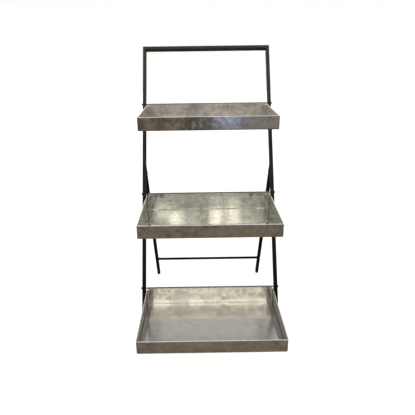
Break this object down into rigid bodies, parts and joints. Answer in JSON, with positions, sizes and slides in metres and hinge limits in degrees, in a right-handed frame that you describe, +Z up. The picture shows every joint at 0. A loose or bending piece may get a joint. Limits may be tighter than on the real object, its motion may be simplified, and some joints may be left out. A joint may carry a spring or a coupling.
{
  "type": "plant stand",
  "caption": "Folding A-frame plant stand with dark satin steel legs and stepped galvanised trays that fold up on hinge rods",
  "frame": {"origin": "on the floor, under the middle of the stand's outline in X and Y", "axes": "+X across the stand to the viewer's right seen from the front, +Y from the trays' front towards the rear legs, +Z up"},
  "size_m": [0.502, 0.7682, 1.0276],
  "materials": {
    "frame_paint": "satin dark brown-black coating",
    "galvanised_sheet": "spangled galvanised sheet, semi-gloss and a little aged",
    "rod_steel": "satin dark coating",
    "cap_finish": "satin dark coating",
    "rivet_zinc": "dull zinc",
    "foot_rubber": "matt black rubber"
  },
  "bodies": {
    "front_frame": {"left_upright": "frame_paint", "right_upright": "frame_paint", "top_bar": "frame_paint", "left_hinge_tab": "frame_paint", "right_hinge_tab": "frame_paint", "left_front_foot": "foot_rubber", "right_front_foot": "foot_rubber", "top_rest_bar": "frame_paint", "top_hinge_rod": "rod_steel", "top_rod_caps": "cap_finish", "middle_rest_bar": "frame_paint", "middle_hinge_rod": "rod_steel", "middle_rod_caps": "cap_finish", "bottom_rest_bar": "frame_paint", "bottom_hinge_rod": "rod_steel", "bottom_rod_caps": "cap_finish"},
    "rear_frame": {"left_rear_leg": "frame_paint", "right_rear_leg": "frame_paint", "rear_rung": "frame_paint", "left_hinge_rivet": "rod_steel", "right_hinge_rivet": "rod_steel", "left_rear_foot": "foot_rubber", "right_rear_foot": "foot_rubber"},
    "top_shelf": {"top_tray": "galvanised_sheet", "top_tray_rivets": "rivet_zinc"},
    "middle_shelf": {"middle_tray": "galvanised_sheet", "middle_tray_rivets": "rivet_zinc"},
    "bottom_shelf": {"bottom_tray": "galvanised_sheet", "bottom_tray_rivets": "rivet_zinc"}
  },
  "joints": [
    {"name": "rear_frame_fold", "type": "hinge", "parent": "front_frame", "child": "rear_frame", "pos_m": [0, 0.11522, 0.57033], "axis": [-1, 0, 0], "range_deg": [0, 50]},
    {"name": "top_tray_fold", "type": "hinge", "parent": "front_frame", "child": "top_shelf", "pos_m": [0, 0.20739, 0.81521], "axis": [-1, 0, 0], "range_deg": [0, 116]},
    {"name": "middle_tray_fold", "type": "hinge", "parent": "front_frame", "child": "middle_shelf", "pos_m": [0, 0.0544, 0.50153], "axis": [-1, 0, 0], "range_deg": [0, 116]},
    {"name": "bottom_tray_fold", "type": "hinge", "parent": "front_frame", "child": "bottom_shelf", "pos_m": [0, -0.09859, 0.18785], "axis": [-1, 0, 0], "range_deg": [0, 116]}
  ],
  "couplings": [
    {"joint": "middle_tray_fold", "follows": "top_tray_fold", "ratio": 1},
    {"joint": "bottom_tray_fold", "follows": "top_tray_fold", "ratio": 1}
  ]
}
